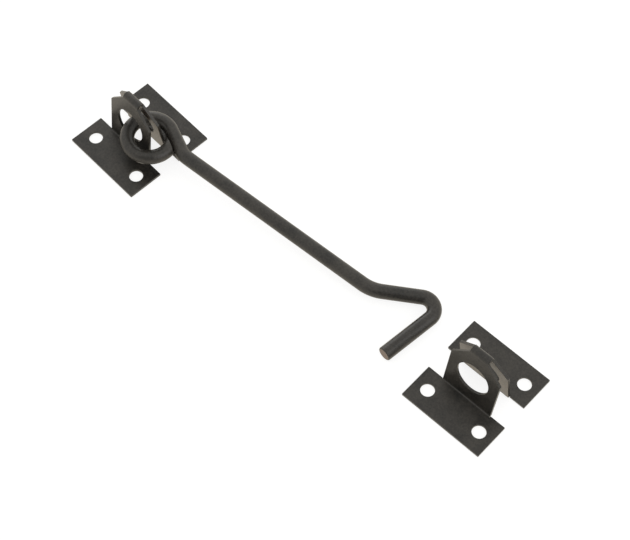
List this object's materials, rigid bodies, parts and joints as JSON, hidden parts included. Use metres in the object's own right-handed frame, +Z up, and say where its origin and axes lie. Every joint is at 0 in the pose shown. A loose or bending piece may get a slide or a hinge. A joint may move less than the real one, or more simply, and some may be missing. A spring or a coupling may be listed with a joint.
{
  "type": "hook and eye latch",
  "caption": "Cabin hook: bent steel wire that swings on one pressed bridge plate and drops its end into the holes of a matching plate.",
  "frame": {"origin": "under the middle of the set's bounding box, on the plane that both plates lie on", "axes": "+X along the hook's shank from the hinge plate to the keeper plate, +Z up from the flanges to the ridges"},
  "size_m": [0.2184, 0.0518, 0.0301],
  "materials": {
    "hinge_plate": "satin charcoal black paint",
    "keeper_plate": "satin charcoal black paint",
    "hook": "satin charcoal black paint"
  },
  "bodies": {
    "plates": {"hinge_plate": "hinge_plate", "keeper_plate": "keeper_plate"},
    "hook": {"hook": "hook"}
  },
  "joints": [
    {"name": "hook_swing", "type": "hinge", "parent": "plates", "child": "hook", "pos_m": [-0.07995, 0.00178, 0.01005], "axis": [0.0511, 0, 0.9987], "range_deg": [-165, 100]}
  ]
}
